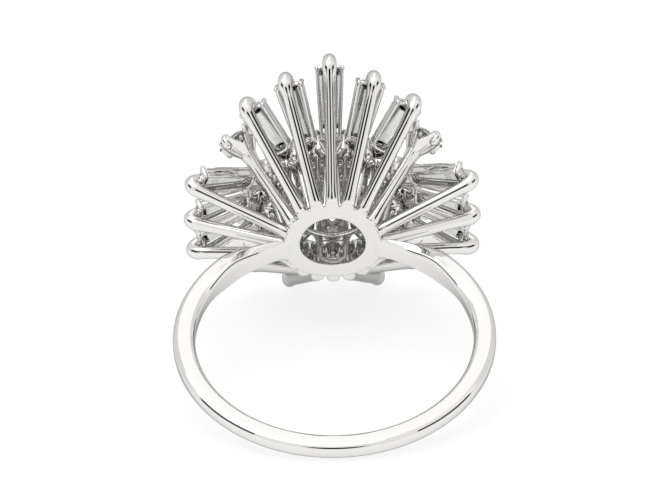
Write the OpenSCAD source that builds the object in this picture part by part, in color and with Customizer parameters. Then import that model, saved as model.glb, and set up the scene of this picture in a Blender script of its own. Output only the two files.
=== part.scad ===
// Marguerite ring: a daisy of wire petals round a brilliant, lying on its side
// as it rests by itself. Millimetres, +Z up, origin under the middle of the box.
//
// The ring is drawn in its own frame first: X across the hand, Y along the
// finger, Z out of the flower's face, with the finger hole's top at the origin.
// resting() then lays it on the shank and on two of the lower petal tips.

/* [Finger hole and shank] */
// Radius of the finger hole
finger_r = 8.5; // [8:0.1:9.5]
// Thickness of the shank, outwards from the finger hole
shank_t = 1.42; // [1.36:0.02:1.6]
// Radius of the shank's round outside
shank_round_r = 0.62; // [0.56:0.02:0.68]
// Width of the shank's flat inside face
shank_flat_w = 1.04; // [0.9:0.02:1.1]
// Radius of the flat curve that thins the shoulders towards the head
shoulder_r = 24; // [22:1:28]
// Depth of that curve under the finger hole's top, in the middle of the head
shoulder_drop = 0.2; // [0.15:0.01:0.25]

/* [Base disc] */
// Radius of the base disc
disc_r = 3.1; // [3:0.05:3.3]
// Radius of the hole through the base disc
disc_hole_r = 2; // [1.8:0.05:2.1]
// Height of the base disc over the finger hole
disc_h = 0.7; // [0.6:0.05:0.8]

/* [Petals] */
// Radius of a petal's rib wire
rib_r = 0.38; // [0.34:0.01:0.42]
// Radius of the rounded bend at a petal's end
tip_r = 0.45; // [0.43:0.01:0.5]
// Height of the bend from the rib to the collet
tip_rise = 0.65; // [0.5:0.05:0.8]
// Distance of a collet's inner end from the middle of the head
collet_in_r = 5; // [4.95:0.05:5.2]
// Height of a collet's inner end
collet_in_z = 3.7; // [3.5:0.1:3.9]
// Width of a collet at its inner end
collet_in_w = 1.3; // [1.2:0.02:1.34]
// Width of a collet at its outer end
collet_out_w = 1.8; // [1.6:0.02:1.9]
// Depth of a collet
collet_depth = 0.75; // [0.6:0.05:0.85]
// Thickness of a collet's wall
collet_wall = 0.25; // [0.2:0.01:0.28]
// Radius of a collet's corner claw
claw_r = 0.15; // [0.13:0.01:0.17]

/* [Round stones] */
// Radius of the central brilliant
centre_stone_r = 2.4; // [2.2:0.05:2.45]
// Height of the central brilliant's girdle
centre_stone_z = 5.3; // [5.2:0.05:5.8]
// Radius of each brilliant in the ring round the centre
inner_stone_r = 0.95; // [0.9:0.01:0.98]
// Distance of these brilliants from the middle of the head
inner_ring_r = 3.85; // [3.85:0.01:3.9]
// Height of their girdles
inner_stone_z = 4.75; // [4.6:0.05:4.9]
// Radius of the brilliant on each of the four round petals
round_stone_r = 1.05; // [1:0.01:1.1]
// Distance of these four from the middle of the head
round_petal_r = 7; // [6.9:0.05:7.1]
// Height of their girdles
round_petal_z = 4.9; // [4.7:0.05:5.1]
// Outward lean of the four round petals' cups
round_petal_lean = 40; // [35:1:45]

/* [Hidden] */
$fn = 48;
petal_count = 20;
petal_step = 360 / petal_count;
inner_count = petal_count / 2;

// Ends of the petals' ribs, a row for each step from the sides (first) to the
// top and bottom (last): the head dips at the sides to follow the finger.
REACH = 0;
HEIGHT = 1;
petal_ends = [
    // reach, height
    [8.6, 1.9],
    [8.95, 2.1],
    [6.3, 4.05],
    [8.85, 4.5],
    [8.95, 5.3],
    [8.85, 6.6]
];
round_row = 2;
rest_row = 4;

function row_of(petal) = min(petal % inner_count, inner_count - petal % inner_count);
round_petals = [for (i = [0 : petal_count - 1]) if (row_of(i) == round_row) i];
baguette_petals = [for (i = [0 : petal_count - 1]) if (row_of(i) != round_row) i];

// A gap that keeps every stone clear of the metal
stone_gap = 0.05;
// Where each rib's wire starts in the base disc: reach and height
rib_root = [2.6, 0.2];
// The collet's outer end, inwards from the bend's foot and over it
collet_to_tip = 0.5;
collet_over_tip = 0.35;
// Claws of the collets: from the ends, into the walls and over the walls
claw_inset = 0.1;
claw_sink = 0.03;
claw_rise = 0.3;
// How far a baguette's edge lies in from its collet's outline, and where the ones
// in line with the finger start, clear of the inner stones
baguette_edge = 0.21;
top_baguette_start = 0.8;
// How far over the collet's walls a baguette's widest outline lies
baguette_lift = 0.1;
// Claws of the central stone, their feet on the base disc and the tie round them
claw_wire_r = 0.2;
claw_foot_r = 2.5;
tie_drop = 0.65;
tie_inset = 0.1;
// Posts of the inner stones' cups, and their spread at the foot and at the cup
post_r = 0.2;
post_spread = 0.4;
post_top_spread = 0.25;
// The cups' walls, feet and prongs, from the girdle of the stone that they hold
cup_wall = 0.18;
cup_foot_r = 0.45;
cup_floor_r = 0.35;
cup_foot_drop = 0.2;
prong_z = 0.2;
// Round windows in the cups, as shares of the stone's radius: their own radius and
// where they start, and how far over the prongs' ends their middles lie
window_share = 0.72;
window_start = 0.55;
window_lift = 0.15;
// Which way the cups' windows face: the inner ones' outwards and at their neighbours
round_windows = [45, 135, 225, 315];
inner_windows = [0, 90 + petal_step, 270 - petal_step];

// Resting pose: the shank's round side and the tips of petals next to the
// lowest one lie on the surface.
shank_round_h = shank_t - shank_round_r;
low_centre = 2 * finger_r + shank_round_h;
rest_tip_y = petal_ends[rest_row][REACH] * sin(rest_row * petal_step);
rest_span = low_centre + petal_ends[rest_row][HEIGHT];
rest_tilt = atan2(rest_tip_y, rest_span)
    + asin((tip_r - shank_round_r) / norm([rest_tip_y, rest_span]));
rest_lift = low_centre * sin(rest_tilt) + shank_round_r;
top_row = len(petal_ends) - 1;
near_y = -low_centre * cos(rest_tilt) - shank_round_r;
far_y = (petal_ends[top_row][REACH] - tip_rise * sin(bend_lean(top_row))) * sin(rest_tilt)
    + (petal_ends[top_row][HEIGHT] + tip_rise * cos(bend_lean(top_row))) * cos(rest_tilt) + tip_r;

function two_digits(n) = n < 10 ? str("0", n) : str(n);
function inner_name(i) = str("inner_stone_", two_digits(i + 1));
function round_name(i) = str("round_stone_", i + 1);
function baguette_name(i) = str("baguette_", two_digits(i + 1));
function wanted(name) = node == "all" || node == name;

NODES = concat(
    ["setting", "centre_stone"],
    [for (i = [0 : inner_count - 1]) inner_name(i)],
    [for (i = [0 : len(round_petals) - 1]) round_name(i)],
    [for (i = [0 : len(baguette_petals) - 1]) baguette_name(i)]
);
node = "all";

metal = "silver";
diamond = "lightcyan";

// Lays the ring from its own frame on the surface, with its box centred
module resting() {
    translate([0, -(near_y + far_y) / 2, rest_lift]) rotate([rest_tilt - 90, 0, 0]) children();
}

// Turns children from the +X direction to a petal's direction
module at_petal(petal) {
    rotate([0, 0, petal * petal_step]) children();
}

// A wire from one point to another
module wire(from, to, r) {
    way = to - from;
    length = norm(way);
    turn = atan2(way.y, way.x);
    lean = acos(way.z / length);
    translate(from) rotate([0, lean, turn]) cylinder(r = r, h = length);
}

// A straight rounded post with ball ends, from z = 0 to z = h
module capsule(r, h) {
    rotate_extrude() intersection() {
        union() {
            circle(r);
            translate([0, h]) circle(r);
            translate([-r, 0]) square([2 * r, h]);
        }
        translate([0, -r]) square([r, h + 2 * r]);
    }
}

// The shank's section: flat inside, round outside, X outwards from the finger's axis
module shank_section() {
    translate([finger_r, 0]) {
        translate([shank_round_h, 0]) circle(shank_round_r);
        polygon([
            [0, -shank_flat_w / 2],
            [shank_round_h, -shank_round_r],
            [shank_round_h, shank_round_r],
            [0, shank_flat_w / 2]
        ]);
    }
}

// The shank, whose shoulders run out thin under the base disc
module shank() {
    intersection() {
        translate([0, 0, -finger_r]) rotate([90, 0, 0]) rotate_extrude($fn = 96) shank_section();
        translate([0, 0, -shoulder_drop - shoulder_r]) rotate([90, 0, 0])
            cylinder(r = shoulder_r, h = 4, center = true, $fn = 96);
    }
}

// The shank and the base disc with its hole, before the finger hole is cut through the disc's back
module base() {
    blank_h = 2;
    difference() {
        union() {
            shank();
            translate([0, 0, disc_h - blank_h]) cylinder(r = disc_r, h = blank_h);
        }
        translate([0, 0, -blank_h]) cylinder(r = disc_hole_r, h = 2 * blank_h);
    }
}

// One petal's rib with the rounded bend at its end
module rib(row) {
    end = petal_ends[row];
    wire([rib_root.x, 0, rib_root.y], [end[REACH], 0, end[HEIGHT]], rib_r);
    translate([end[REACH], 0, end[HEIGHT]]) rotate([0, -bend_lean(row), 0]) capsule(tip_r, tip_rise);
}

// Places children in a baguette collet's frame: X outwards along the collet,
// Z out of its face, and the origin under the middle of its inner end
module at_collet(row) {
    translate([collet_in_r, 0, collet_in_z]) rotate([0, -collet_slope(row), 0]) children();
}

function collet_run(row) = petal_ends[row] - [collet_to_tip, -collet_over_tip]
    - [collet_in_r, collet_in_z];
function collet_slope(row) = atan2(collet_run(row).y, collet_run(row).x);
function collet_length(row) = norm(collet_run(row));

// The bend stands square to a collet that slopes up, or else straight up
function bend_lean(row) = max(collet_slope(row), 0);

// Half the collet's width at a distance x from its inner end
function half_width(row, x) = (collet_in_w + (collet_out_w - collet_in_w) * x / collet_length(row)) / 2;

// The collet's tapered outline between two distances from its inner end, narrower by inset at each side
function taper_outline(row, from, to, inset) = [
    [from, inset - half_width(row, from)],
    [to, inset - half_width(row, to)],
    [to, half_width(row, to) - inset],
    [from, half_width(row, from) - inset]
];

// An open collet for a tapered baguette, with a claw at each corner. In line with
// the finger its inner end is held by an inner stone's cup and has no claws.
module collet(row) {
    length = collet_length(row);
    at_collet(row) {
        linear_extrude(collet_depth) difference() {
            polygon(taper_outline(row, 0, length, 0));
            polygon(taper_outline(row, collet_wall, length - collet_wall, collet_wall));
        }
        for (side = [-1, 1], x = row == top_row ? [length - claw_inset] : [claw_inset, length - claw_inset])
            translate([x, side * (half_width(row, x) - claw_sink), 0])
                cylinder(r = claw_r, h = collet_depth + claw_rise);
    }
}

// A pierced cone with prongs for a round stone, whose girdle is at z = 0
module cup(stone_r, windows) {
    foot_z = -stone_r - cup_foot_drop;
    girdle_r = stone_r + stone_gap;
    flare = (girdle_r - cup_floor_r) / (-foot_z - cup_wall);
    top_r = girdle_r + flare * prong_z + cup_wall;
    window_r = window_share * stone_r;
    difference() {
        rotate_extrude() polygon([
            [0, foot_z],
            [cup_foot_r, foot_z],
            [top_r, prong_z],
            [top_r - cup_wall, prong_z],
            [cup_floor_r, foot_z + cup_wall],
            [0, foot_z + cup_wall]
        ]);
        for (turn = windows)
            rotate([0, 0, turn]) translate([window_start * stone_r, 0, prong_z + window_lift])
                rotate([0, 90, 0]) cylinder(r = window_r, h = stone_r);
    }
}

// Places children at a round petal's stone
module at_round_petal(petal) {
    at_petal(petal) translate([round_petal_r, 0, round_petal_z]) rotate([0, round_petal_lean, 0])
        children();
}

// A round petal: a rib that runs up into a pierced cup
module round_petal(petal) {
    end = petal_ends[round_row];
    at_petal(petal) wire([rib_root.x, 0, rib_root.y], [end[REACH], 0, end[HEIGHT]], rib_r);
    at_round_petal(petal) cup(round_stone_r, round_windows);
}

// Turns children to a stone of the ring round the centre
module at_inner_stone(i) {
    at_petal(2 * i + 1) translate([inner_ring_r, 0, inner_stone_z]) children();
}

// The cup of one inner stone, on two posts that stand on the base disc
module inner_cup(i) {
    at_inner_stone(i) cup(inner_stone_r, inner_windows);
    at_petal(2 * i + 1) for (side = [-1, 1])
        wire([disc_r - post_r, side * post_spread, disc_h / 2],
             [inner_ring_r, side * post_top_spread, inner_stone_z - inner_stone_r], post_r);
}

// The claws of the central stone, tied by a ring under its girdle
module centre_collet() {
    tie_r = centre_stone_r - tie_inset;
    for (i = [0 : inner_count - 1])
        at_petal(2 * i) wire([claw_foot_r, 0, disc_h / 2],
            [centre_stone_r + claw_wire_r + stone_gap, 0, centre_stone_z + claw_rise], claw_wire_r);
    translate([0, 0, centre_stone_z - tie_drop]) rotate_extrude() translate([tie_r, 0])
        circle(claw_wire_r, $fn = 24);
}

// All the metal, soldered into one piece and bored for the finger
module setting() {
    color(metal) resting() difference() {
        union() {
            base();
            for (petal = baguette_petals) at_petal(petal) {
                rib(row_of(petal));
                collet(row_of(petal));
            }
            for (petal = round_petals) round_petal(petal);
            for (i = [0 : inner_count - 1]) inner_cup(i);
            centre_collet();
        }
        translate([0, 0, -finger_r]) rotate([90, 0, 0])
            cylinder(r = finger_r, h = 4 * disc_r, center = true, $fn = 96);
    }
}

function polar(r, angle, z) = [r * cos(angle), r * sin(angle), z];

// A round brilliant with its girdle at z = 0 and its table up
module brilliant(r) {
    table = [for (i = [0 : 7]) polar(0.56 * r, 45 * i, 0.32 * r)];
    star = [for (i = [0 : 7]) polar(0.78 * r, 45 * i + 22.5, 0.19 * r)];
    girdle_top = [for (i = [0 : 15]) polar(r, 22.5 * i, 0.03 * r)];
    girdle_low = [for (i = [0 : 15]) polar(r, 22.5 * i, -0.03 * r)];
    lower = [for (i = [0 : 7]) polar(0.3 * r, 45 * i + 22.5, -0.66 * r)];
    culet = [[0, 0, -0.87 * r]];
    S = 8;
    G = 16;
    H = 32;
    L = 48;
    C = 56;
    faces = concat(
        [[for (i = [7 : -1 : 0]) i]],
        [for (i = [0 : 7]) [i, (i + 1) % 8, S + i]],
        [for (i = [0 : 7]) [i, S + i, G + 2 * i]],
        [for (i = [0 : 7]) [i, G + 2 * i, S + (i + 7) % 8]],
        [for (i = [0 : 7]) [S + i, G + 2 * i + 1, G + 2 * i]],
        [for (i = [0 : 7]) [S + i, G + (2 * i + 2) % 16, G + 2 * i + 1]],
        [for (i = [0 : 15]) [G + i, G + (i + 1) % 16, H + (i + 1) % 16]],
        [for (i = [0 : 15]) [G + i, H + (i + 1) % 16, H + i]],
        [for (i = [0 : 7]) [L + i, H + 2 * i, H + 2 * i + 1]],
        [for (i = [0 : 7]) [L + i, H + 2 * i + 1, H + (2 * i + 2) % 16]],
        [for (i = [0 : 7]) [C, L + (i + 7) % 8, H + 2 * i]],
        [for (i = [0 : 7]) [C, H + 2 * i, L + i]]
    );
    color(diamond) polyhedron(concat(table, star, girdle_top, girdle_low, lower, culet), faces);
}

module centre_stone() {
    resting() translate([0, 0, centre_stone_z]) brilliant(centre_stone_r);
}

module inner_stone(i) {
    resting() at_inner_stone(i) brilliant(inner_stone_r);
}

module round_stone(i) {
    resting() at_round_petal(round_petals[i]) brilliant(round_stone_r);
}

// A tapered step-cut stone, seated on the walls of its collet
module baguette(i) {
    petal = baguette_petals[i];
    row = row_of(petal);
    start = row == top_row ? top_baguette_start : baguette_edge;
    end = collet_length(row) - baguette_edge;
    seat = collet_depth + baguette_lift;
    // The cut's outlines from the bottom up: how far each is drawn in, and its height over the seat
    steps = [[0.38, -0.5], [0.2, -0.24], [0, 0], [0, 0.08], [0.12, 0.2], [0.2, 0.26]];
    points = [for (step = steps)
        each [for (p = taper_outline(row, start + step[0], end - step[0], baguette_edge + step[0]))
            [p.x, p.y, seat + step[1]]]];
    last = 4 * (len(steps) - 1);
    sides = [for (k = [0 : len(steps) - 2], j = [0 : 3])
        let (a = 4 * k + j, b = 4 * k + (j + 1) % 4) each [[a, a + 4, b + 4], [a, b + 4, b]]];
    caps = [[0, 1, 2, 3], [last + 3, last + 2, last + 1, last]];
    color(diamond) resting() at_petal(petal) at_collet(row) polyhedron(points, concat(sides, caps));
}

if (wanted("setting")) setting();
if (wanted("centre_stone")) centre_stone();
for (i = [0 : inner_count - 1]) if (wanted(inner_name(i))) inner_stone(i);
for (i = [0 : len(round_petals) - 1]) if (wanted(round_name(i))) round_stone(i);
for (i = [0 : len(baguette_petals) - 1]) if (wanted(baguette_name(i))) baguette(i);
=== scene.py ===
"""Marguerite ring: polished platinum wire petals, pierced cups and diamonds, lying on its side."""
import math

import bmesh
import bpy
from mathutils import Matrix, Vector
from mathutils.geometry import interpolate_bezier


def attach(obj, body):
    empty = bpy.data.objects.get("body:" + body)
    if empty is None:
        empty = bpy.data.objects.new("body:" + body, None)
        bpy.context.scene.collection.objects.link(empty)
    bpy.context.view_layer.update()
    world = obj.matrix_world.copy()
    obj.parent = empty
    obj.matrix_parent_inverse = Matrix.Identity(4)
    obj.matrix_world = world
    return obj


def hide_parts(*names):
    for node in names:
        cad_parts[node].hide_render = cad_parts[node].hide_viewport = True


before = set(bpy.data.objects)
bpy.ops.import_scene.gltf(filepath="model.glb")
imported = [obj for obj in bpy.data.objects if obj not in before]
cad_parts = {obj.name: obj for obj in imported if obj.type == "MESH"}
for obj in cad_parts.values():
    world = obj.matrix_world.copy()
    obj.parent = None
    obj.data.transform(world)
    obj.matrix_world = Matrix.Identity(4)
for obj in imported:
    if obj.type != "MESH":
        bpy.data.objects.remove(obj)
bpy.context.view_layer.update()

MM = 0.001
UP = Vector((0, 0, 1))
# Points of a piece that lie closer than this are merged
MERGE = 0.002 * MM
# Sides of the thin round wires
WIRE_SIDES = 16

# Finger hole, and how far clear of it the ribs are filed back
FINGER_R = 8.5 * MM
FILED_CLEAR = 0.03 * MM

# Shank
SHANK_T = 1.42 * MM
SHANK_ROUND_R = 0.62 * MM
FLAT_W = 1.04 * MM
# What polishing takes off the shank's outside, and how far its section reaches up
POLISH_LOSS = 0.05 * MM
SHANK_UPPER_W = 0.56 * MM
# How far each corner of the section is rounded, and in how many steps: upper and inner, upper and
# outer, lower and outer, lower and inner
SHANK_EASES = ((0.35 * MM, 5), (0.4 * MM, 9), (0.6 * MM, 12), (0.06 * MM, 5))
SHANK_STEPS = 180

# Shoulders: the flat curve that thins them, where it starts and the least thickness that it leaves
SHOULDER_R = 24 * MM
SHOULDER_DROP = 0.2 * MM
SHOULDER_START = 7.5 * MM
SHOULDER_LEAST = 0.04 * MM
# The flat widens, and then its upper edge is drawn in, each between two distances from the middle
SHOULDER_FLAT_W = 1.7 * MM
SHOULDER_EDGE = 0.3 * MM
FLAT_WIDENS = (7.9 * MM, 6.3 * MM)
EDGE_DRAWN_IN = (6.4 * MM, 4.6 * MM)

# Base disc, whose outer edge at the back is rounded more than the others
DISC_R = 3.1 * MM
DISC_HOLE_R = 2 * MM
DISC_H = 0.7 * MM
DISC_EDGE = 0.22 * MM
DISC_FINE_EDGE = 0.06 * MM
DISC_CUTS = 5
DISC_STEPS = 120

# Petals: reach and height of each rib's end, a row for each step from the sides to the top
PETAL_COUNT = 20
PETAL_STEP = math.tau / PETAL_COUNT
PETAL_ENDS = [
    Vector((8.6, 0, 1.9)) * MM,
    Vector((8.95, 0, 2.1)) * MM,
    Vector((6.3, 0, 4.05)) * MM,
    Vector((8.85, 0, 4.5)) * MM,
    Vector((8.95, 0, 5.3)) * MM,
    Vector((8.85, 0, 6.6)) * MM,
]
ROUND_ROW = 2
REST_ROW = 4
TOP_ROW = 5

# Ribs, which swell towards their bends
RIB_ROOT = Vector((2.9, 0, 0)) * MM
RIB_R = 0.37 * MM
RIB_SIDES = 28
RIB_STEPS = 26
TIP_R = 0.45 * MM
TIP_RISE = 0.65 * MM
TIP_SWELL_REACH = 0.75 * MM
# Where a rib's bend starts before its end, how far it swings out, and where it meets the collet.
# The lowest petal's bend is tighter.
BEND_START = 0.42 * MM
BEND_SWING = 0.66 * MM
LOWEST_SWING = 0.2 * MM
BEND_STEPS = 16
SEAT_IN = 0.05 * MM
SEAT_RISE = 0.62
# Solder at a rib's root, and the fork under a round stone's cup
SOLDER_T = 0.07 * MM
SOLDER_REACH = 0.35 * MM
FORK_T = 0.16 * MM
FORK_REACH = 1.2 * MM
FORK_CURVE = 1.5
FORK_STEPS = 24
# The two lower ribs beside the resting ones rise more steeply
STEEP_ROW = 3
STEEP_END = Vector((8.5, 0, 5.05)) * MM

# Collets
COLLET_IN = Vector((5, 0, 3.7)) * MM
COLLET_BACK = Vector((-0.5, 0, 0.35)) * MM
COLLET_IN_W = 1.3 * MM
COLLET_OUT_W = 1.8 * MM
COLLET_DEPTH = 0.75 * MM
COLLET_CORNER = 0.28 * MM
RAIL_W = 0.24 * MM
RAIL_H = 0.24 * MM
# Wall between the rails: half its thickness, and how far its edges stand in
COLLET_SKIN = 0.06 * MM
COLLET_SKIN_IN = 0.1 * MM
# Corner claws: how far each stands out, where it bends over the stone, its end's place along,
# across and over the bend, how round the bend is, and how much the end swells
CLAW_R = 0.15 * MM
CLAW_TOP = 0.94 * MM
CLAW_OUT = 0.02 * MM
CLAW_BEND_H = 0.28 * MM
CLAW_LEAN = (0.08 * MM, 0.1 * MM, 0.14 * MM)
CLAW_KNEE = 0.1 * MM
CLAW_BALL = 0.03 * MM
CLAW_STEPS = 6
CLAW_SIDES = 14

# Round stones
CENTRE_R = 2.4 * MM
CENTRE_Z = 5.3 * MM
INNER_COUNT = PETAL_COUNT // 2
INNER_R = 0.95 * MM
INNER_RING_R = 3.85 * MM
INNER_Z = 4.75 * MM
ROUND_R = 1.05 * MM
ROUND_REACH = 7 * MM
ROUND_Z = 4.9 * MM
ROUND_LEAN = math.radians(40)
STONE_GAP = 0.05 * MM

# Cups, which a bead closes at the foot
CUP_WALL = 0.18 * MM
CUP_FOOT_R = 0.45 * MM
CUP_FLOOR_R = 0.35 * MM
CUP_FOOT_DROP = 0.2 * MM
CUP_BEAD_R = 1.02 * CUP_FOOT_R
CUP_BEAD_RISE = 0.6 * CUP_WALL
CUP_SIDES = 96
CUP_STEPS = 10
WINDOW_CURVE = 0.55
# How far the wall stands over the girdle. A prong's start and knee, outwards of the girdle and
# upwards, and how far its end reaches over the stone and rises over the wall.
PRONG_Z = 0.2 * MM
PRONG_START = (0.55 * CUP_WALL, -0.25 * MM)
PRONG_KNEE = (0.75 * CUP_WALL, 0.05 * MM)
PRONG_KNEE_H = 0.14 * MM
PRONG_OVER = 0.02 * MM
PRONG_RISE = 0.06 * MM
PRONG_STEPS = 8
# Each kind's prongs, half a prong's foot, the share of the height that is left in its windows, the
# radii of a prong and of its end, and the curve of its wall, where 1 is straight
ROUND_CUP = {
    "prongs": [math.radians(angle) for angle in (0, 90, 180, 270)],
    "prong_half": math.radians(20),
    "window_low": 0.46,
    "prong_r": 0.24 * MM,
    "ball_r": 0.28 * MM,
    "bulge": 1,
}
INNER_CUP = {
    "prongs": [math.radians(angle) for angle in (54, 150, 210, 306)],
    "prong_half": math.radians(14),
    "window_low": 0.55,
    "prong_r": 0.17 * MM,
    "ball_r": 0.19 * MM,
    "bulge": 0.6,
}

# Posts under an inner cup: how far to the side each foot and top stands, and the top's depth
WIRE_R = 0.2 * MM
POST_FOOT_SIDE = 0.4 * MM
POST_TOP_SIDE = 0.25 * MM
POST_TOP_DROP = 0.1 * MM

# Centre claws: each one's knee and end, outwards of the stone's edge and upwards of it
CENTRE_CLAW_R = 0.95 * WIRE_R
CENTRE_CLAW_FOOT = 2.5 * MM
CENTRE_CLAW_KNEE = (WIRE_R + STONE_GAP, 0.05 * MM)
CENTRE_CLAW_END = (-0.05 * MM, 0.32 * MM)
CENTRE_CLAW_KNEE_H = 0.2 * MM
# Radius and height of each tie ring
TIE_RINGS = ((CENTRE_R - 0.1 * MM, CENTRE_Z - 0.65 * MM), (2.5 * MM, 3.1 * MM))
TIE_STEPS = 72

# Gallery ribbon: how far its ruffle goes inwards and up at each petal, half its thickness and half
# its height
GALLERY_R = 4.8 * MM
GALLERY_Z = 3.75 * MM
GALLERY_RUFFLE = (0.3 * MM, 0.1 * MM)
GALLERY_T = 0.1 * MM
GALLERY_H = 0.6 * MM
GALLERY_STEPS = 240
GALLERY_SIDES = 12

# Resting pose: the shank's round side and two low petal tips lie on the surface
LOW_CENTRE = 2 * FINGER_R + SHANK_T - SHANK_ROUND_R
REST_TIP = PETAL_ENDS[REST_ROW].x * math.sin(REST_ROW * PETAL_STEP)
REST_SPAN = LOW_CENTRE + PETAL_ENDS[REST_ROW].z
REST_SLANT = math.asin((TIP_R - SHANK_ROUND_R) / math.hypot(REST_TIP, REST_SPAN))
REST_TILT = math.atan2(REST_TIP, REST_SPAN) + REST_SLANT
REST_LIFT = LOW_CENTRE * math.sin(REST_TILT) + SHANK_ROUND_R


def collet_slope(row):
    """How steeply a row's collet climbs outwards."""
    run = PETAL_ENDS[row] + COLLET_BACK - COLLET_IN
    return math.atan2(run.z, run.x)


def far_reach():
    """How far the lowest petal's bend reaches past the head's origin, along Y."""
    lean = max(collet_slope(TOP_ROW), 0)
    bend = PETAL_ENDS[TOP_ROW] + TIP_RISE * Vector((-math.sin(lean), 0, math.cos(lean)))
    return bend.x * math.sin(REST_TILT) + bend.z * math.cos(REST_TILT) + TIP_R


NEAR_Y = -LOW_CENTRE * math.cos(REST_TILT) - SHANK_ROUND_R
HEAD = Vector((0, -(NEAR_Y + far_reach()) / 2, REST_LIFT))
LAY = Matrix.Translation(HEAD) @ Matrix.Rotation(REST_TILT - math.pi / 2, 4, "X")


def row_of(petal):
    """The row of PETAL_ENDS that a petal belongs to."""
    return min(petal % INNER_COUNT, INNER_COUNT - petal % INNER_COUNT)


def turned(steps):
    """A turn from the +X direction by a number of petal steps."""
    return Matrix.Rotation(steps * PETAL_STEP, 4, "Z")


# Wires

def stations(path):
    """A placing matrix for each point of a path, with Z along the path and no twist."""
    last = len(path) - 1
    ways = [(path[min(i + 1, last)] - path[max(i - 1, 0)]).normalized() for i in range(last + 1)]
    turn = ways[0].to_track_quat("Z", "Y")
    places = []
    for i, (point, way) in enumerate(zip(path, ways)):
        if i:
            turn = ways[i - 1].rotation_difference(way) @ turn
        places.append(Matrix.Translation(point) @ turn.to_matrix().to_4x4())
    return places


def draw_out(bm, edges, before, after, scale):
    """Extrudes a section's edges from one station to the next."""
    made = bmesh.ops.extrude_edge_only(bm, edges=edges)["geom"]
    verts = [item for item in made if isinstance(item, bmesh.types.BMVert)]
    bmesh.ops.transform(bm, verts=verts, matrix=after @ Matrix.Scale(scale, 4) @ before.inverted())
    return [item for item in made if isinstance(item, bmesh.types.BMEdge)]


def ball_end(point, way, radius, steps=5):
    """Points and radii that round off a wire beyond its end point."""
    smallest = 0.05
    angles = [math.pi / 2 * step / steps for step in range(1, steps + 1)]
    return [(point + way * radius * math.sin(angle), radius * max(math.cos(angle), smallest))
            for angle in angles]


def wire(bm, path, radii, sides):
    """A round wire along a path, with ball ends."""
    if not isinstance(radii, list):
        radii = [radii] * len(path)
    run = ball_end(path[0], (path[0] - path[1]).normalized(), radii[0])[::-1]
    run += zip(path, radii)
    run += ball_end(path[-1], (path[-1] - path[-2]).normalized(), radii[-1])
    places = stations([point for point, radius in run])
    made = bmesh.ops.create_circle(bm, segments=sides, radius=run[0][1], matrix=places[0])
    edges = list({edge for vert in made["verts"] for edge in vert.link_edges})
    first = edges
    for i in range(1, len(run)):
        edges = draw_out(bm, edges, places[i - 1], places[i], run[i][1] / run[i - 1][1])
    bmesh.ops.edgeloop_fill(bm, edges=first)
    bmesh.ops.edgeloop_fill(bm, edges=edges)


def closed_wire(bm, path, across, high, sides=WIRE_SIDES):
    """A wire bent into a closed loop, with an oval section."""
    ways = [(path[(i + 1) % len(path)] - path[i - 1]).normalized() for i in range(len(path))]
    places = []
    for point, way in zip(path, ways):
        side = UP.cross(way).normalized()
        spin = Matrix((side, way.cross(side), way)).transposed().to_4x4()
        places.append(Matrix.Translation(point) @ spin)
    oval = Matrix.Diagonal((across, high, 1, 1))
    made = bmesh.ops.create_circle(bm, segments=sides, radius=1, matrix=places[0] @ oval)
    edges = list({edge for vert in made["verts"] for edge in vert.link_edges})
    first = edges
    for before, after in zip(places, places[1:]):
        edges = draw_out(bm, edges, before, after, 1)
    bmesh.ops.bridge_loops(bm, edges=first + edges)


def rounded_outline(corners, radius, steps=5):
    """Points round an outline whose corners are rounded."""
    handle = 0.45
    points = []
    for i, corner in enumerate(corners):
        before = (corners[i - 1] - corner).normalized() * radius
        after = (corners[(i + 1) % len(corners)] - corner).normalized() * radius
        points += interpolate_bezier(corner + before, corner + before * handle,
                                     corner + after * handle, corner + after, steps)
    return points


def clear_finger(bm):
    """Files back what would stand into the finger hole."""
    kept_r = FINGER_R + FILED_CLEAR
    for vert in bm.verts:
        away = math.hypot(vert.co.x, vert.co.z + FINGER_R)
        if away < kept_r and abs(vert.co.z) < FINGER_R:
            vert.co.x *= kept_r / away
            vert.co.z = (vert.co.z + FINGER_R) * kept_r / away - FINGER_R


def piece(name, bm, material, sharp):
    """A finished piece of the setting, from a shape drawn in the ring's own frame."""
    bmesh.ops.remove_doubles(bm, verts=bm.verts, dist=MERGE)
    bmesh.ops.recalc_face_normals(bm, faces=bm.faces)
    for face in bm.faces:
        face.smooth = True
    for edge in bm.edges:
        if len(edge.link_faces) == 2 and edge.calc_face_angle() > math.radians(sharp):
            edge.smooth = False
    bmesh.ops.transform(bm, verts=bm.verts, matrix=LAY)
    mesh = bpy.data.meshes.new(name)
    bm.to_mesh(mesh)
    bm.free()
    obj = bpy.data.objects.new(name, mesh)
    bpy.context.scene.collection.objects.link(obj)
    mesh.materials.append(material)
    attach(obj, "root")
    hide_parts("setting")
    return obj


# Shank and base disc

def ease(start, end, x):
    """A smooth rise from 0 at start to 1 at end."""
    share = min(max((x - start) / (end - start), 0), 1)
    return share * share * (3 - 2 * share)


def shoulder_limit(x):
    """Highest the shoulders may stand at a distance x from the middle."""
    return -SHOULDER_DROP - SHOULDER_R + math.sqrt(SHOULDER_R ** 2 - x ** 2)


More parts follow.
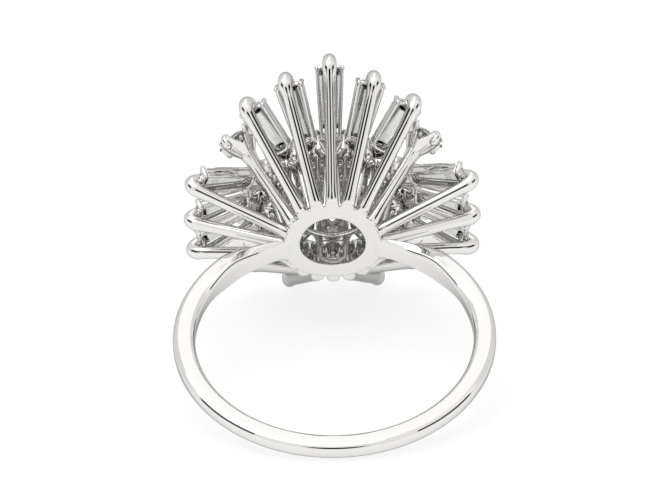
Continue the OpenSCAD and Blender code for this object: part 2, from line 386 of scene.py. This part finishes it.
def make_shank(material):
    """The shank: flat inside, round outside, thinned towards the disc."""
    bm = bmesh.new()
    polished_t = SHANK_T - POLISH_LOSS
    corners = [(0, -FLAT_W / 2), (polished_t, -SHANK_UPPER_W), (polished_t, SHANK_ROUND_R),
               (0, FLAT_W / 2)]
    section = [bm.verts.new((0, across, out)) for out, across in corners]
    bm.faces.new(section)
    for corner, (offset, segments) in zip(section, SHANK_EASES):
        bmesh.ops.bevel(bm, geom=[corner], offset=offset, segments=segments, profile=0.5,
                        affect="VERTICES", material=-1)
    bmesh.ops.delete(bm, geom=list(bm.faces), context="FACES_ONLY")
    bmesh.ops.translate(bm, verts=bm.verts, vec=(0, 0, FINGER_R))
    bmesh.ops.spin(bm, geom=list(bm.verts) + list(bm.edges), cent=(0, 0, 0), axis=(0, 1, 0),
                   angle=math.tau, steps=SHANK_STEPS, use_merge=True)
    for vert in bm.verts:
        x, z = vert.co.x, vert.co.z
        out = math.hypot(x, z)
        if z > 0 and abs(x) < FINGER_R:
            # Widens the flat in the shoulders, draws its upper edge in beside the disc, and thins
            # the shoulder under the flat curve
            depth = min(max(1 - (out - FINGER_R) / (SHANK_T - SHANK_ROUND_R), 0), 1)
            wide = ease(*FLAT_WIDENS, abs(x)) * (SHOULDER_FLAT_W - FLAT_W) / 2
            drawn = ease(*EDGE_DRAWN_IN, abs(x)) * (SHOULDER_FLAT_W / 2 - SHOULDER_EDGE)
            grown = FLAT_W / 2 + wide - (drawn if vert.co.y < 0 else 0)
            vert.co.y *= 1 + (grown / (FLAT_W / 2) - 1) * depth
            limit = math.hypot(x, shoulder_limit(x) + FINGER_R) - FINGER_R
            if abs(x) < SHOULDER_START:
                thin = min(max(limit, SHOULDER_LEAST) / SHANK_T, 1)
                scale = (FINGER_R + (out - FINGER_R) * thin) / out
                vert.co.x *= scale
                vert.co.z *= scale
        vert.co.z -= FINGER_R
    ends_in = (DISC_R + DISC_HOLE_R) / 2
    hidden = [vert for vert in bm.verts if abs(vert.co.x) < ends_in and vert.co.z > -FINGER_R]
    bmesh.ops.delete(bm, geom=hidden, context="VERTS")
    rims = [edge for edge in bm.edges if edge.is_boundary]
    bmesh.ops.holes_fill(bm, edges=rims)
    return piece("shank", bm, material, sharp=50)


def make_disc(material):
    """The base disc, whose back is the finger hole's wall."""
    bm = bmesh.new()
    corners = [(DISC_HOLE_R, 0), (DISC_R, 0), (DISC_R, DISC_H), (DISC_HOLE_R, DISC_H)]
    section = [bm.verts.new((x, 0, z)) for x, z in corners]
    bm.faces.new(section)
    outer_back = section.pop(1)
    bmesh.ops.bevel(bm, geom=[outer_back], offset=DISC_EDGE, segments=6, profile=0.5,
                    affect="VERTICES", material=-1)
    bmesh.ops.bevel(bm, geom=section, offset=DISC_FINE_EDGE, segments=3, profile=0.5,
                    affect="VERTICES", material=-1)
    long_edges = [edge for edge in bm.edges if edge.calc_length() > DISC_EDGE]
    bmesh.ops.subdivide_edges(bm, edges=long_edges, cuts=DISC_CUTS)
    bmesh.ops.delete(bm, geom=list(bm.faces), context="FACES_ONLY")
    bmesh.ops.spin(bm, geom=list(bm.verts) + list(bm.edges), cent=(0, 0, 0), axis=(0, 0, 1),
                   angle=math.tau, steps=DISC_STEPS, use_merge=True)
    for vert in bm.verts:
        low = math.sqrt(FINGER_R ** 2 - vert.co.x ** 2) - FINGER_R
        vert.co.z = DISC_H + (vert.co.z - DISC_H) * (DISC_H - low) / DISC_H
    return piece("base_disc", bm, material, sharp=40)


# Petals

def rib_run(start, end, count):
    """Points along a straight run."""
    return [start.lerp(end, i / (count - 1)) for i in range(count)]


def rib_radii(path, radius):
    """A rib's radius at each point, thicker where it is soldered to the disc."""
    past = [max(point.x - DISC_R, 0) for point in path]
    return [radius + SOLDER_T * math.exp(-beyond / SOLDER_REACH) for beyond in past]


def make_rib(petal, material):
    """A petal's rib, which bends back at its end into the collet."""
    row = row_of(petal)
    seat_end = end = PETAL_ENDS[row]
    if row == STEEP_ROW and petal < INNER_COUNT:
        end = STEEP_END
    way = (end - RIB_ROOT).normalized()
    bm = bmesh.new()
    if row == ROUND_ROW:
        path = rib_run(RIB_ROOT, end, FORK_STEPS)
        near = [max(1 - (end - point).length / FORK_REACH, 0) for point in path]
        radii = [r + FORK_T * share ** FORK_CURVE for r, share in zip(rib_radii(path, RIB_R), near)]
    else:
        slope = collet_slope(row)
        along = Vector((math.cos(slope), 0, math.sin(slope)))
        normal = Vector((-math.sin(slope), 0, math.cos(slope)))
        bend_start = end - way * BEND_START
        seat = seat_end + COLLET_BACK + normal * COLLET_DEPTH * SEAT_RISE - along * SEAT_IN
        swing = LOWEST_SWING if row == TOP_ROW and petal < INNER_COUNT else BEND_SWING
        bend = interpolate_bezier(bend_start, bend_start + way * swing, seat + along * swing, seat,
                                  BEND_STEPS)
        path = rib_run(RIB_ROOT, bend_start, RIB_STEPS)[:-1] + bend
        near = [math.exp(-((point - end).length / TIP_SWELL_REACH) ** 2) for point in path]
        radii = [r + (TIP_R - RIB_R) * share for r, share in zip(rib_radii(path, RIB_R), near)]
    wire(bm, path, radii, sides=RIB_SIDES)
    bmesh.ops.transform(bm, verts=bm.verts, matrix=turned(petal))
    clear_finger(bm)
    return piece(f"rib_{petal + 1:02d}", bm, material, sharp=60)


def collet_place(row):
    """The collet's frame: X outwards along it, Z out of its face."""
    return Matrix.Translation(COLLET_IN) @ Matrix.Rotation(-collet_slope(row), 4, "Y")


def make_collet(petal, number, material):
    """An open collet of two rails and four claws round a tapered stone."""
    row = row_of(petal)
    length = (PETAL_ENDS[row] + COLLET_BACK - COLLET_IN).length
    inset = RAIL_W / 2

    def half(x):
        return (COLLET_IN_W + (COLLET_OUT_W - COLLET_IN_W) * x / length) / 2 - inset

    def loop(z, thick, high):
        corners = [Vector((inset, -half(0), z)), Vector((length - inset, -half(length), z)),
                   Vector((length - inset, half(length), z)), Vector((inset, half(0), z))]
        closed_wire(bm, rounded_outline(corners, COLLET_CORNER), thick, high)

    bm = bmesh.new()
    loop(RAIL_H / 2, RAIL_W / 2, RAIL_H / 2)
    loop(COLLET_DEPTH - RAIL_H / 2, RAIL_W / 2, RAIL_H / 2)
    loop(COLLET_DEPTH / 2, COLLET_SKIN, COLLET_DEPTH / 2 - COLLET_SKIN_IN)
    along, across, rise = CLAW_LEAN
    ends = [length - CLAW_R] if row == TOP_ROW else [CLAW_R, length - CLAW_R]
    for x in ends:
        for side in (-1, 1):
            foot = Vector((x, side * (half(x) + CLAW_OUT), RAIL_H / 2))
            knee = foot + UP * (CLAW_TOP - CLAW_BEND_H - foot.z)
            inward = 1 if x < length / 2 else -1
            tip = knee + Vector((inward * along, -side * across, rise))
            bend = interpolate_bezier(knee, knee + UP * CLAW_KNEE, tip, tip, CLAW_STEPS)
            swell = [CLAW_BALL * i / (CLAW_STEPS - 1) for i in range(CLAW_STEPS)]
            radii = [CLAW_R] * 3 + [CLAW_R + more for more in swell]
            wire(bm, rib_run(foot, knee, 4)[:-1] + bend, radii, sides=CLAW_SIDES)
    bmesh.ops.transform(bm, verts=bm.verts, matrix=turned(petal) @ collet_place(row))
    return piece(f"collet_{number:02d}", bm, material, sharp=60)


# Cups and claws

def scallop(angle, prongs, prong_half, low):
    """How high a cup's wall stands in a direction: low in its windows, and 1 at its prongs."""
    near = min(abs((angle - prong + math.pi) % math.tau - math.pi) for prong in prongs)
    window = max(near - prong_half, 0) / (math.pi / len(prongs) - prong_half)
    return low + (1 - low) * max(1 - window ** WINDOW_CURVE, 0)


def draw_cup(bm, place, stone_r, prongs, prong_half, window_low, prong_r, ball_r, bulge):
    """A pierced cup whose prongs close over the stone's edge."""
    foot_z = -stone_r - CUP_FOOT_DROP
    girdle_r = stone_r + STONE_GAP
    flare = (girdle_r - CUP_FLOOR_R) / (-foot_z - CUP_WALL)
    top_r = girdle_r + flare * PRONG_Z + CUP_WALL
    rise = PRONG_Z - foot_z
    shell = bmesh.new()
    made = bmesh.ops.create_circle(shell, segments=CUP_SIDES, radius=CUP_FOOT_R,
                                   matrix=Matrix.Translation((0, 0, foot_z)))
    edges = list(shell.edges)
    levels = {vert: 0 for vert in made["verts"]}
    for step in range(1, CUP_STEPS + 1):
        made = bmesh.ops.extrude_edge_only(shell, edges=edges)["geom"]
        edges = [item for item in made if isinstance(item, bmesh.types.BMEdge)]
        for vert in made:
            if isinstance(vert, bmesh.types.BMVert):
                levels[vert] = step / CUP_STEPS
    for vert, level in levels.items():
        angle = math.atan2(vert.co.y, vert.co.x)
        up = level * scallop(angle, prongs, prong_half, window_low)
        wide = CUP_FOOT_R + (top_r - CUP_FOOT_R) * up ** bulge
        vert.co = (wide * math.cos(angle), wide * math.sin(angle), foot_z + rise * up)
    bmesh.ops.recalc_face_normals(shell, faces=shell.faces)
    bmesh.ops.solidify(shell, geom=list(shell.faces), thickness=CUP_WALL)
    bmesh.ops.transform(shell, verts=shell.verts, matrix=place)
    mesh = bpy.data.meshes.new("cup_shell")
    shell.to_mesh(mesh)
    shell.free()
    bm.from_mesh(mesh)
    bpy.data.meshes.remove(mesh)
    # A flattened bead closes the foot
    bead = Matrix.Translation((0, 0, foot_z + CUP_BEAD_RISE)) @ Matrix.Diagonal((1, 1, 0.5, 1))
    bmesh.ops.create_uvsphere(bm, u_segments=24, v_segments=12, radius=CUP_BEAD_R,
                              matrix=place @ bead)
    for prong in prongs:
        out = Vector((math.cos(prong), math.sin(prong), 0))
        start = out * (girdle_r + PRONG_START[0]) + UP * PRONG_START[1]
        knee = out * (girdle_r + PRONG_KNEE[0]) + UP * PRONG_KNEE[1]
        tip = out * (stone_r - PRONG_OVER) + UP * (PRONG_Z + PRONG_RISE)
        bend = interpolate_bezier(start, knee, knee + UP * PRONG_KNEE_H, tip, PRONG_STEPS)
        swell = [(ball_r - prong_r) * i / (PRONG_STEPS - 1) for i in range(PRONG_STEPS)]
        radii = [prong_r + more for more in swell]
        wire(bm, [place @ point for point in bend], radii, sides=WIRE_SIDES)


def make_round_cup(petal, number, material):
    """The pierced cup at the end of a round petal."""
    bm = bmesh.new()
    seat = Matrix.Translation((ROUND_REACH, 0, ROUND_Z)) @ Matrix.Rotation(ROUND_LEAN, 4, "Y")
    draw_cup(bm, turned(petal) @ seat, ROUND_R, **ROUND_CUP)
    return piece(f"round_cup_{number}", bm, material, sharp=50)


def make_inner_cup(number, material):
    """A cup of the ring round the centre, on two posts that stand on the disc."""
    bm = bmesh.new()
    spin = turned(2 * number + 1)
    draw_cup(bm, spin @ Matrix.Translation((INNER_RING_R, 0, INNER_Z)), INNER_R, **INNER_CUP)
    for side in (-1, 1):
        foot = Vector((DISC_R - WIRE_R, side * POST_FOOT_SIDE, DISC_H / 2))
        top = Vector((INNER_RING_R, side * POST_TOP_SIDE, INNER_Z - INNER_R - POST_TOP_DROP))
        wire(bm, [spin @ point for point in rib_run(foot, top, 6)], WIRE_R, sides=WIRE_SIDES)
    return piece(f"inner_cup_{number + 1:02d}", bm, material, sharp=50)


def make_centre_claws(material):
    """Ten claws round the central stone, tied by a ring under its edge and by one halfway down."""
    bm = bmesh.new()
    foot = Vector((CENTRE_CLAW_FOOT, 0, DISC_H / 2))
    knee, tip = [Vector((CENTRE_R + out, 0, CENTRE_Z + rise))
                 for out, rise in (CENTRE_CLAW_KNEE, CENTRE_CLAW_END)]
    bend = interpolate_bezier(knee, knee + UP * CENTRE_CLAW_KNEE_H, tip, tip, 7)
    path = rib_run(foot, knee, 8)[:-1] + bend
    for i in range(INNER_COUNT):
        spin = turned(2 * i)
        wire(bm, [spin @ point for point in path], CENTRE_CLAW_R, sides=WIRE_SIDES)
    for radius, height in TIE_RINGS:
        out = Vector((radius, 0, height))
        turns = [Matrix.Rotation(math.tau * i / TIE_STEPS, 4, "Z") for i in range(TIE_STEPS)]
        closed_wire(bm, [turn @ out for turn in turns], WIRE_R, WIRE_R)
    return piece("centre_claws", bm, material, sharp=60)


def make_gallery(material):
    """A ruffled ribbon that ties the collets' inner ends to the cups."""
    bm = bmesh.new()
    out, rise = GALLERY_RUFFLE
    path = []
    for i in range(GALLERY_STEPS):
        angle = math.tau * i / GALLERY_STEPS
        wave = math.cos(PETAL_COUNT * angle)
        point = Vector((GALLERY_R - out * wave, 0, GALLERY_Z + rise * wave))
        path.append(Matrix.Rotation(angle, 4, "Z") @ point)
    closed_wire(bm, path, GALLERY_T, GALLERY_H, sides=GALLERY_SIDES)
    return piece("gallery", bm, material, sharp=60)


# Finishes

# Scratches run along one direction. The noise that marks a surface lies between two values.
POLISH_STRETCH = (9, 1, 3)
CLOUD_DETAIL = 3
SCRATCH_DETAIL = 6
SCRATCH_RANGE = (0.3, 0.7)
# Platinum: its colour, its colour at grazing angles, how fine its marks are, and how rough and wavy
# they leave it
PLATINUM = (0.81, 0.8, 0.785, 1)
PLATINUM_TINT = (0.4, 0.4, 0.4, 1)
PLATINUM_MARKS = 900
PLATINUM_ROUGHNESS = (0.03, 0.1)
PLATINUM_WAVES = 0.05
PLATINUM_WAVE_H = 0.02 * MM
# Diamond
DIAMOND = (0.66, 0.66, 0.635, 1)
DIAMOND_IOR = 2.417
DIAMOND_MARKS = 500
DIAMOND_ROUGHNESS = 0.02


def node(tree, kind, **settings):
    """A new shader node with its settings."""
    made = tree.nodes.new(kind)
    for name, value in settings.items():
        setattr(made, name, value)
    return made


def spread(tree, value, start, end, low=0, high=1, curve="SMOOTHSTEP"):
    """What goes from low to high while a value goes from start to end."""
    made = node(tree, "ShaderNodeMapRange", interpolation_type=curve)
    made.inputs["From Min"].default_value = start
    made.inputs["From Max"].default_value = end
    made.inputs["To Min"].default_value = low
    made.inputs["To Max"].default_value = high
    tree.links.new(value, made.inputs["Value"])
    return made.outputs["Result"]


def polish_group():
    """Polishing marks: a slow unevenness and fine scratches, each from 0 to 1."""
    group = bpy.data.node_groups.new("polish_marks", "ShaderNodeTree")
    group.interface.new_socket("Vector", in_out="INPUT", socket_type="NodeSocketVector")
    group.interface.new_socket("Scale", in_out="INPUT", socket_type="NodeSocketFloat")
    group.interface.new_socket("Cloud", in_out="OUTPUT", socket_type="NodeSocketFloat")
    group.interface.new_socket("Scratches", in_out="OUTPUT", socket_type="NodeSocketFloat")
    ins = node(group, "NodeGroupInput")
    outs = node(group, "NodeGroupOutput")
    stretch = node(group, "ShaderNodeMapping")
    stretch.inputs["Scale"].default_value = POLISH_STRETCH
    link = group.links.new
    link(ins.outputs["Vector"], stretch.inputs["Vector"])
    for name, place, detail in (
        ("Cloud", ins, CLOUD_DETAIL),
        ("Scratches", stretch, SCRATCH_DETAIL),
    ):
        noise = node(group, "ShaderNodeTexNoise")
        noise.inputs["Detail"].default_value = detail
        link(place.outputs["Vector"], noise.inputs["Vector"])
        link(ins.outputs["Scale"], noise.inputs["Scale"])
        link(noise.outputs["Fac"], outs.inputs[name])
    return group


def new_finish(name, marks, scale):
    """A new material, its shader, and the polishing marks on Object coordinates."""
    material = bpy.data.materials.new(name)
    material.use_nodes = True
    tree = material.node_tree
    place = node(tree, "ShaderNodeTexCoord")
    polish = node(tree, "ShaderNodeGroup", node_tree=marks)
    polish.inputs["Scale"].default_value = scale
    tree.links.new(place.outputs["Object"], polish.inputs["Vector"])
    return material, tree.nodes["Principled BSDF"], polish


def make_platinum(marks):
    """Polished platinum with faint polishing marks."""
    material, shader, polish = new_finish("polished_platinum", marks, PLATINUM_MARKS)
    shader.inputs["Base Color"].default_value = PLATINUM
    shader.inputs["Metallic"].default_value = 1
    shader.inputs["Specular Tint"].default_value = PLATINUM_TINT
    tree = material.node_tree
    rough = spread(tree, polish.outputs["Scratches"], *SCRATCH_RANGE, *PLATINUM_ROUGHNESS, "LINEAR")
    bump = node(tree, "ShaderNodeBump")
    bump.inputs["Strength"].default_value = PLATINUM_WAVES
    bump.inputs["Distance"].default_value = PLATINUM_WAVE_H
    tree.links.new(polish.outputs["Cloud"], bump.inputs["Height"])
    tree.links.new(rough, shader.inputs["Roughness"])
    tree.links.new(bump.outputs["Normal"], shader.inputs["Normal"])
    return material


def make_diamond(marks):
    """Clear diamond whose facets are polished to slightly different gloss."""
    material, shader, polish = new_finish("diamond", marks, DIAMOND_MARKS)
    shader.inputs["Base Color"].default_value = DIAMOND
    shader.inputs["Transmission Weight"].default_value = 1
    shader.inputs["IOR"].default_value = DIAMOND_IOR
    tree = material.node_tree
    rough = spread(tree, polish.outputs["Cloud"], 0, 1, 0, DIAMOND_ROUGHNESS, "LINEAR")
    tree.links.new(rough, shader.inputs["Roughness"])
    return material


# Stage

# Camera: pixels to a metre at the head, the head's place in the image, and the lens
PIXELS = 16.31 / MM
IMAGE_W = 667
IMAGE_H = 500
HEAD_PIXEL = (332.7, 242)
ELEVATION = math.radians(24.9)
ROLL = math.radians(1.06)
DISTANCE = 1.3
SENSOR = 0.036
CLIP = (0.05, 20)
# Light table
FLOOR_HALF = 1.5
FLOOR_GREY = (0.25, 0.25, 0.25, 1)
FLOOR_ROUGHNESS = 0.9
FLOOR_GLOW = 0.76


def make_camera():
    """A long lens at the photograph's angle."""
    forward = Vector((0, math.cos(ELEVATION), -math.sin(ELEVATION)))
    up = Vector((0, math.sin(ELEVATION), math.cos(ELEVATION)))
    level = Vector((1, 0, 0))
    right = level * math.cos(ROLL) - up * math.sin(ROLL)
    up = up * math.cos(ROLL) + level * math.sin(ROLL)
    aim = HEAD + right * (IMAGE_W / 2 - HEAD_PIXEL[0]) / PIXELS
    aim -= up * (IMAGE_H / 2 - HEAD_PIXEL[1]) / PIXELS
    data = bpy.data.cameras.new("camera")
    data.sensor_width = SENSOR / MM
    data.lens = PIXELS * DISTANCE * SENSOR / IMAGE_W / MM
    data.clip_start, data.clip_end = CLIP
    camera = bpy.data.objects.new("camera", data)
    turn = Matrix((right, up, -forward)).transposed().to_4x4()
    camera.matrix_world = Matrix.Translation(aim - forward * DISTANCE) @ turn
    bpy.context.scene.collection.objects.link(camera)
    bpy.context.scene.camera = camera


def make_floor():
    """A pale light table."""
    bm = bmesh.new()
    bmesh.ops.create_grid(bm, x_segments=1, y_segments=1, size=FLOOR_HALF)
    mesh = bpy.data.meshes.new("floor")
    bm.to_mesh(mesh)
    bm.free()
    floor = bpy.data.objects.new("floor", mesh)
    bpy.context.scene.collection.objects.link(floor)
    material = bpy.data.materials.new("light_table")
    material.use_nodes = True
    shader = material.node_tree.nodes["Principled BSDF"]
    shader.inputs["Base Color"].default_value = FLOOR_GREY
    shader.inputs["Roughness"].default_value = FLOOR_ROUGHNESS
    shader.inputs["Emission Color"].default_value = (1, 1, 1, 1)
    shader.inputs["Emission Strength"].default_value = FLOOR_GLOW
    mesh.materials.append(material)


# The light tent: how bright its wall is in front and behind
TENT_WHITE = (1, 0.995, 0.985, 1)
FRONT_LIGHT = 0.94
BACK_LIGHT = 0.83
BACK_START = 0.35
# Cards on its wall, of which the last is the dark opening at the lens: azimuth, elevation,
# half-width and half-height in degrees, and brightness
CARDS = [
    (180, 62, 15, 20, 1.22),
    (180, 88, 62, 6, 1.12),
    (0, 25.2, 16, 13, 0),
]
# Dark slits at the lens's height, at both sides of it
SLIT_HEIGHT = math.sin(math.radians(25.2))
SLIT_HALF = 0.18
SLIT_START = math.radians(48)
SLIT_LIGHT = 0.02
# Where the soft edge of a card or slit ends and starts, as shares of its half-size
SOFT_EDGE = (1.2, 0.8)


def sky(azimuth, elevation):
    """The direction at an azimuth, rightwards from the camera's, and an elevation, in degrees."""
    turn, rise = math.radians(azimuth), math.radians(elevation)
    level = Vector((math.sin(turn), -math.cos(turn), 0))
    return level * math.cos(rise) + UP * math.sin(rise)


def reckoned(tree, operation, *values):
    """What a Math node makes of sockets and plain numbers."""
    made = node(tree, "ShaderNodeMath", operation=operation)
    for socket, value in zip(made.inputs, values):
        if isinstance(value, bpy.types.NodeSocket):
            tree.links.new(value, socket)
        else:
            socket.default_value = value
    return made.outputs["Value"]


def card_group():
    """An oval card in the tent's wall: 1 inside it and 0 outside, with a soft edge."""
    group = bpy.data.node_groups.new("card", "ShaderNodeTree")
    for name in ("Direction", "Middle", "Across", "Upwards"):
        group.interface.new_socket(name, in_out="INPUT", socket_type="NodeSocketVector")
    group.interface.new_socket("Mask", in_out="OUTPUT", socket_type="NodeSocketFloat")
    ins = node(group, "NodeGroupInput")
    outs = node(group, "NodeGroupOutput")
    link = group.links.new
    parts = []
    for name in ("Middle", "Across", "Upwards"):
        dot = node(group, "ShaderNodeVectorMath", operation="DOT_PRODUCT")
        link(ins.outputs["Direction"], dot.inputs[0])
        link(ins.outputs[name], dot.inputs[1])
        parts.append(dot.outputs["Value"])
    place = node(group, "ShaderNodeCombineXYZ")
    far = node(group, "ShaderNodeVectorMath", operation="LENGTH")
    link(parts[1], place.inputs["X"])
    link(parts[2], place.inputs["Y"])
    link(place.outputs["Vector"], far.inputs[0])
    edge = spread(group, far.outputs["Value"], *SOFT_EDGE)
    side = reckoned(group, "GREATER_THAN", parts[0], 0)
    link(reckoned(group, "MULTIPLY", side, edge), outs.inputs["Mask"])
    return group


def slit_mask(tree, parts):
    """1 in the dark slits and 0 elsewhere, with a soft edge above and below."""
    x, y, z = (parts.outputs[axis] for axis in "XYZ")
    off = reckoned(tree, "ABSOLUTE", reckoned(tree, "SUBTRACT", z, SLIT_HEIGHT))
    edge = spread(tree, off, *[SLIT_HALF * share for share in SOFT_EDGE])
    front = reckoned(tree, "LESS_THAN", y, 0)
    wide = reckoned(tree, "ABSOLUTE", x)
    aside = reckoned(tree, "MULTIPLY_ADD", wide, 1 / math.tan(SLIT_START), y)
    start = reckoned(tree, "MULTIPLY", front, reckoned(tree, "GREATER_THAN", aside, 0))
    return reckoned(tree, "MULTIPLY", edge, start)


def laid_over(tree, light, mask, brightness):
    """The tent's light with another brightness laid over it where a mask is 1."""
    shade = node(tree, "ShaderNodeMix")
    shade.inputs["B"].default_value = brightness
    tree.links.new(mask, shade.inputs["Factor"])
    tree.links.new(light, shade.inputs["A"])
    return shade.outputs["Result"]


def make_tent():
    """A white light tent: brighter overhead, dark at the lens and in a slit at each side of it."""
    world = bpy.data.worlds.new("tent")
    bpy.context.scene.world = world
    world.use_nodes = True
    tree = world.node_tree
    place = node(tree, "ShaderNodeTexCoord")
    parts = node(tree, "ShaderNodeSeparateXYZ")
    tree.links.new(place.outputs["Generated"], parts.inputs["Vector"])
    light = spread(tree, parts.outputs["Y"], 0, BACK_START, FRONT_LIGHT, BACK_LIGHT)
    light = laid_over(tree, light, slit_mask(tree, parts), SLIT_LIGHT)
    group = card_group()
    for azimuth, elevation, half_width, half_height, brightness in CARDS:
        middle = sky(azimuth, elevation)
        across = middle.cross(UP).normalized()
        upwards = across.cross(middle)
        card = node(tree, "ShaderNodeGroup", node_tree=group)
        card.inputs["Middle"].default_value = middle
        card.inputs["Across"].default_value = across / math.sin(math.radians(half_width))
        card.inputs["Upwards"].default_value = upwards / math.sin(math.radians(half_height))
        tree.links.new(place.outputs["Generated"], card.inputs["Direction"])
        light = laid_over(tree, light, card.outputs["Mask"], brightness)
    back = tree.nodes["Background"]
    back.inputs["Color"].default_value = TENT_WHITE
    tree.links.new(light, back.inputs["Strength"])


# Soft box
BOX_SIZE = 0.25
BOX_POWER = 0.25
BOX_PLACE = Vector((-0.08, -0.02, 0.3))


def make_lights():
    """A large soft box overhead."""
    data = bpy.data.lights.new("soft_box", "AREA")
    data.shape = "RECTANGLE"
    data.size = data.size_y = BOX_SIZE
    data.energy = BOX_POWER
    lamp = bpy.data.objects.new("soft_box", data)
    lamp.location = BOX_PLACE
    lamp.rotation_euler = (HEAD - BOX_PLACE).to_track_quat("-Z", "Y").to_euler()
    bpy.context.scene.collection.objects.link(lamp)


def make_ring():
    """All the metal pieces, and the stones' finish."""
    marks = polish_group()
    platinum = make_platinum(marks)
    diamond = make_diamond(marks)
    make_shank(platinum)
    make_disc(platinum)
    round_number = collet_number = 0
    for petal in range(PETAL_COUNT):
        make_rib(petal, platinum)
        if row_of(petal) == ROUND_ROW:
            round_number += 1
            make_round_cup(petal, round_number, platinum)
        else:
            collet_number += 1
            make_collet(petal, collet_number, platinum)
    for number in range(INNER_COUNT):
        make_inner_cup(number, platinum)
    make_centre_claws(platinum)
    make_gallery(platinum)
    for name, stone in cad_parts.items():
        if name != "setting":
            stone.data.materials.clear()
            stone.data.materials.append(diamond)


make_camera()
make_floor()
make_tent()
make_lights()
make_ring()
bpy.context.scene.view_settings.view_transform = "Standard"
